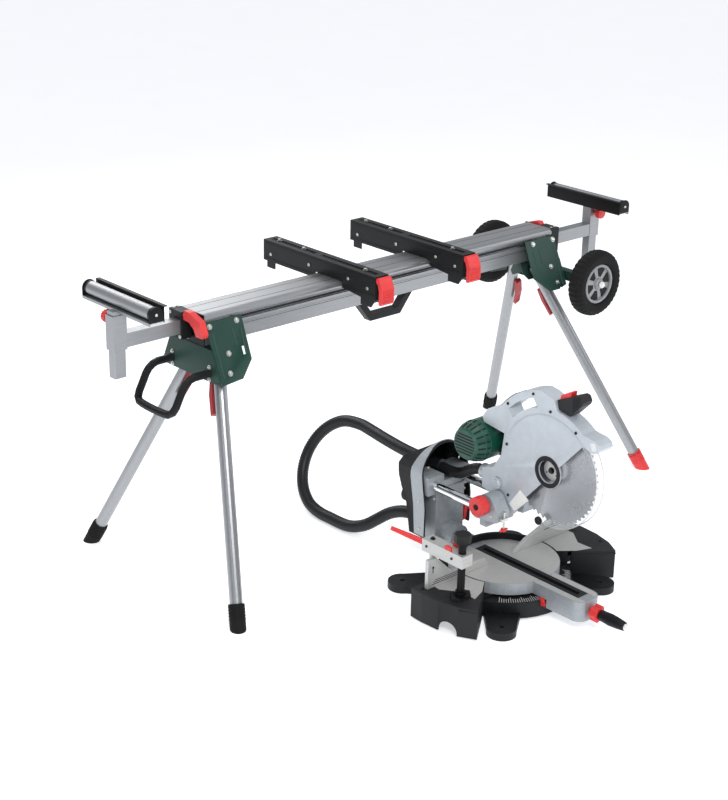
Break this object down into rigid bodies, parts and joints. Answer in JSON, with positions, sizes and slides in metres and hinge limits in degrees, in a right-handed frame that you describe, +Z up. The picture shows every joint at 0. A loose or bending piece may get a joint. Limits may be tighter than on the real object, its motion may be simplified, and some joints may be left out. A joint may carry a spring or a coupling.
{
  "type": "mitre saw on stand",
  "caption": "Sliding compound mitre saw with dust hose beside its folding leg stand with pull-out roller supports and transport wheels.",
  "frame": {"origin": "centre of the footprint of stand and saw on the floor, measured without the free hose", "axes": "+X along the rail towards the wheels, +Y away from the user, +Z up"},
  "size_m": [2.014, 1.5654, 0.941],
  "materials": {
    "anodised_aluminium": "satin anodised",
    "green_coat": "fine texture",
    "black_coat": "satin",
    "red_plastic": "semi gloss",
    "dark_red_plastic": "matte",
    "foot_rubber": "matte",
    "black_plastic": "matte",
    "tyre_rubber": "treaded",
    "grey_plastic": "satin",
    "machined_aluminium": "machined",
    "cast_aluminium": "satin cast",
    "polished_chrome": "mirror",
    "silver_coat": "satin",
    "green_plastic": "semi gloss",
    "blade_steel": "ground",
    "smoky_clear": "clear",
    "hose_rubber": "ribbed"
  },
  "bodies": {
    "stand": {"rail": "anodised_aluminium", "left_leg_bracket": "green_coat", "right_leg_bracket": "green_coat", "left_end_clamp": "black_coat", "right_end_clamp": "black_coat", "rail_grip": "black_plastic", "carry_handle": "black_plastic", "wheel_beam": "green_coat"},
    "saw_base": {"saw_base": "black_plastic", "fence": "machined_aluminium"},
    "turntable": {"turntable": "cast_aluminium", "table_insert": "black_plastic"},
    "tilt_column": {"tilt_column": "cast_aluminium", "rear_hood": "black_plastic", "dust_hose": "hose_rubber"},
    "carriage": {"carriage": "cast_aluminium", "near_slide_tube": "polished_chrome", "far_slide_tube": "polished_chrome"},
    "head": {"upper_guard": "silver_coat", "motor_housing": "green_plastic", "head_handle": "black_plastic"},
    "front_wheel": {"front_tyre": "tyre_rubber", "front_rim": "grey_plastic"},
    "back_wheel": {"back_tyre": "tyre_rubber", "back_rim": "grey_plastic"},
    "left_front_leg": {"left_front_leg": "anodised_aluminium", "left_front_foot": "foot_rubber"},
    "left_front_latch": {"left_front_latch": "dark_red_plastic"},
    "left_back_leg": {"left_back_leg": "anodised_aluminium", "left_back_foot": "foot_rubber"},
    "left_back_latch": {"left_back_latch": "dark_red_plastic"},
    "right_front_leg": {"right_front_leg": "anodised_aluminium"},
    "right_front_latch": {"right_front_latch": "dark_red_plastic"},
    "adjustable_foot": {"right_front_foot": "red_plastic"},
    "right_back_leg": {"right_back_leg": "anodised_aluminium", "right_back_foot": "foot_rubber"},
    "right_back_latch": {"right_back_latch": "dark_red_plastic"},
    "left_extension": {"left_extension": "anodised_aluminium"},
    "left_support_post": {"left_support_post": "anodised_aluminium"},
    "left_roller": {"left_roller": "anodised_aluminium"},
    "left_height_knob": {"left_height_knob": "red_plastic"},
    "left_extension_lever": {"left_extension_lever": "red_plastic"},
    "right_extension": {"right_extension": "anodised_aluminium"},
    "right_support_post": {"right_support_post": "anodised_aluminium"},
    "right_roller": {"right_roller": "anodised_aluminium"},
    "right_height_knob": {"right_height_knob": "red_plastic"},
    "right_extension_lever": {"right_extension_lever": "red_plastic"},
    "left_saw_arm": {"left_saw_arm": "black_coat"},
    "left_arm_lever": {"left_arm_lever": "red_plastic"},
    "right_saw_arm": {"right_saw_arm": "black_coat"},
    "right_arm_lever": {"right_arm_lever": "red_plastic"},
    "mitre_grip": {"mitre_grip": "red_plastic"},
    "tilt_lever": {"tilt_lever": "red_plastic"},
    "slide_lock_knob": {"slide_lock_knob": "red_plastic"},
    "blade": {"blade": "blade_steel"},
    "lower_guard": {"lower_guard": "smoky_clear"},
    "trigger": {"trigger": "red_plastic"},
    "clamp_arm": {"clamp_arm": "machined_aluminium"},
    "clamp_spindle": {"clamp_spindle": "black_coat"},
    "clamp_lever": {"clamp_lever": "red_plastic"}
  },
  "joints": [
    {"name": "saw_set_aside", "type": "slide", "parent": "stand", "child": "saw_base", "axis": [0, -1, 0], "range_m": [0, 0.6]},
    {"name": "left_front_leg_fold", "type": "hinge", "parent": "stand", "child": "left_front_leg", "pos_m": [-0.684, 0.32932, 0.7], "axis": [0, -0.906, 0.4232], "range_deg": [0, 102]},
    {"name": "left_front_latch_squeeze", "type": "hinge", "parent": "left_front_leg", "child": "left_front_latch", "pos_m": [-0.70329, 0.32557, 0.62856], "axis": [-0.9654, 0, 0.2607], "range_deg": [0, 5], "stiffness_Nm_per_rad": 0.6, "springref_deg": -20.05},
    {"name": "left_back_leg_fold", "type": "hinge", "parent": "stand", "child": "left_back_leg", "pos_m": [-0.684, 0.42932, 0.7], "axis": [0, -0.906, -0.4232], "range_deg": [0, 102]},
    {"name": "left_back_latch_squeeze", "type": "hinge", "parent": "left_back_leg", "child": "left_back_latch", "pos_m": [-0.70329, 0.43307, 0.62856], "axis": [0.9654, 0, -0.2607], "range_deg": [0, 5], "stiffness_Nm_per_rad": 0.6, "springref_deg": -20.05},
    {"name": "right_front_leg_fold", "type": "hinge", "parent": "stand", "child": "right_front_leg", "pos_m": [0.684, 0.32932, 0.7], "axis": [0, 0.906, -0.4232], "range_deg": [0, 96]},
    {"name": "right_front_latch_squeeze", "type": "hinge", "parent": "right_front_leg", "child": "right_front_latch", "pos_m": [0.70943, 0.32632, 0.63047], "axis": [-0.9392, 0, -0.3435], "range_deg": [0, 5], "stiffness_Nm_per_rad": 0.6, "springref_deg": -20.05},
    {"name": "foot_adjust", "type": "slide", "parent": "right_front_leg", "child": "adjustable_foot", "axis": [0.3145, -0.4018, -0.86], "range_m": [0, 0.03]},
    {"name": "right_back_leg_fold", "type": "hinge", "parent": "stand", "child": "right_back_leg", "pos_m": [0.684, 0.42932, 0.7], "axis": [0, 0.906, 0.4232], "range_deg": [0, 96]},
    {"name": "right_back_latch_squeeze", "type": "hinge", "parent": "right_back_leg", "child": "right_back_latch", "pos_m": [0.70943, 0.43232, 0.63047], "axis": [0.9392, 0, 0.3435], "range_deg": [0, 5], "stiffness_Nm_per_rad": 0.6, "springref_deg": -20.05},
    {"name": "left_extension_slide", "type": "slide", "parent": "stand", "child": "left_extension", "axis": [-1, 0, 0], "range_m": [-0.17, 1.05]},
    {"name": "left_post_height", "type": "slide", "parent": "left_extension", "child": "left_support_post", "axis": [0, 0, 1], "range_m": [0, 0.15]},
    {"name": "left_roller_spin", "type": "hinge", "parent": "left_support_post", "child": "left_roller", "pos_m": [-0.963, 0.40432, 0.908], "axis": [0, 1, 0], "continuous": true},
    {"name": "left_height_knob_turn", "type": "hinge", "parent": "left_extension", "child": "left_height_knob", "pos_m": [-0.984, 0.40432, 0.856], "axis": [0, 1, 0], "range_deg": [0, 180]},
    {"name": "left_extension_lever_lift", "type": "hinge", "parent": "stand", "child": "left_extension_lever", "pos_m": [-0.762, 0.36932, 0.833], "axis": [-1, 0, 0], "range_deg": [0, 40]},
    {"name": "right_extension_slide", "type": "slide", "parent": "stand", "child": "right_extension", "axis": [1, 0, 0], "range_m": [-0.17, 1.05]},
    {"name": "right_post_height", "type": "slide", "parent": "right_extension", "child": "right_support_post", "axis": [0, 0, 1], "range_m": [0, 0.15]},
    {"name": "right_roller_spin", "type": "hinge", "parent": "right_support_post", "child": "right_roller", "pos_m": [0.963, 0.35432, 0.908], "axis": [0, 1, 0], "continuous": true},
    {"name": "right_height_knob_turn", "type": "hinge", "parent": "right_extension", "child": "right_height_knob", "pos_m": [0.984, 0.35432, 0.856], "axis": [0, 1, 0], "range_deg": [0, 180]},
    {"name": "right_extension_lever_lift", "type": "hinge", "parent": "stand", "child": "right_extension_lever", "pos_m": [0.762, 0.38932, 0.833], "axis": [1, 0, 0], "range_deg": [0, 40]},
    {"name": "left_saw_arm_slide", "type": "slide", "parent": "stand", "child": "left_saw_arm", "axis": [1, 0, 0], "range_m": [-0.3, 0.25]},
    {"name": "left_arm_lever_open", "type": "hinge", "parent": "left_saw_arm", "child": "left_arm_lever", "pos_m": [-0.19, 0.15732, 0.88], "axis": [-1, 0, 0], "range_deg": [0, 60]},
    {"name": "right_saw_arm_slide", "type": "slide", "parent": "stand", "child": "right_saw_arm", "axis": [1, 0, 0], "range_m": [-0.25, 0.3]},
    {"name": "right_arm_lever_open", "type": "hinge", "parent": "right_saw_arm", "child": "right_arm_lever", "pos_m": [0.182, 0.15732, 0.88], "axis": [-1, 0, 0], "range_deg": [0, 60]},
    {"name": "front_wheel_spin", "type": "hinge", "parent": "stand", "child": "front_wheel", "pos_m": [0.769, 0.13932, 0.686], "axis": [0, 1, 0], "continuous": true},
    {"name": "back_wheel_spin", "type": "hinge", "parent": "stand", "child": "back_wheel", "pos_m": [0.769, 0.61932, 0.686], "axis": [0, 1, 0], "continuous": true},
    {"name": "mitre_turn", "type": "hinge", "parent": "saw_base", "child": "turntable", "pos_m": [-0.096, -0.30343, 0.0966], "axis": [0, 0, -1], "range_deg": [-47, 47]},
    {"name": "mitre_grip_turn", "type": "hinge", "parent": "turntable", "child": "mitre_grip", "pos_m": [-0.096, -0.68668, 0.063], "axis": [0, 1, 0], "range_deg": [0, 90]},
    {"name": "tilt", "type": "hinge", "parent": "turntable", "child": "tilt_column", "pos_m": [-0.096, -0.08818, 0.0966], "axis": [0, -1, 0], "range_deg": [0, 45]},
    {"name": "tilt_lever_turn", "type": "hinge", "parent": "tilt_column", "child": "tilt_lever", "pos_m": [-0.02565, -0.05143, 0.1176], "axis": [1, 0, 0], "range_deg": [0, 40]},
    {"name": "carriage_slide", "type": "slide", "parent": "tilt_column", "child": "carriage", "axis": [0, 1, 0], "range_m": [0, 0.175], "deforming": ["dust_hose"]},
    {"name": "slide_lock_turn", "type": "hinge", "parent": "carriage", "child": "slide_lock_knob", "pos_m": [-0.201, -0.28768, 0.294], "axis": [1, 0, 0], "range_deg": [0, 180]},
    {"name": "chop", "type": "hinge", "parent": "carriage", "child": "head", "pos_m": [-0.096, -0.29608, 0.29925], "axis": [-1, 0, 0], "range_deg": [-50, 0], "stiffness_Nm_per_rad": 14, "springref_deg": 91.67},
    {"name": "blade_spin", "type": "hinge", "parent": "head", "child": "blade", "pos_m": [-0.096, -0.47668, 0.44625], "axis": [1, 0, 0], "continuous": true},
    {"name": "lower_guard_open", "type": "hinge", "parent": "head", "child": "lower_guard", "pos_m": [-0.096, -0.47668, 0.44625], "axis": [1, 0, 0], "range_deg": [-105, 0]},
    {"name": "trigger_pull", "type": "hinge", "parent": "head", "child": "trigger", "pos_m": [-0.096, -0.52918, 0.6951], "axis": [-1, 0, 0], "range_deg": [0, 4], "stiffness_Nm_per_rad": 0.5, "springref_deg": -17.19},
    {"name": "clamp_swing", "type": "hinge", "parent": "saw_base", "child": "clamp_arm", "pos_m": [-0.37425, -0.27508, 0.1575], "axis": [0, 0, -1], "range_deg": [0, 60]},
    {"name": "clamp_spindle_lift", "type": "slide", "parent": "clamp_arm", "child": "clamp_spindle", "axis": [0, 0, 1], "range_m": [0, 0.05]},
    {"name": "clamp_lever_turn", "type": "hinge", "parent": "clamp_arm", "child": "clamp_lever", "pos_m": [-0.37425, -0.24568, 0.2142], "axis": [0, 1, 0], "range_deg": [-40, 0]}
  ],
  "couplings": [
    {"joint": "lower_guard_open", "follows": "chop", "ratio": 2.1}
  ]
}
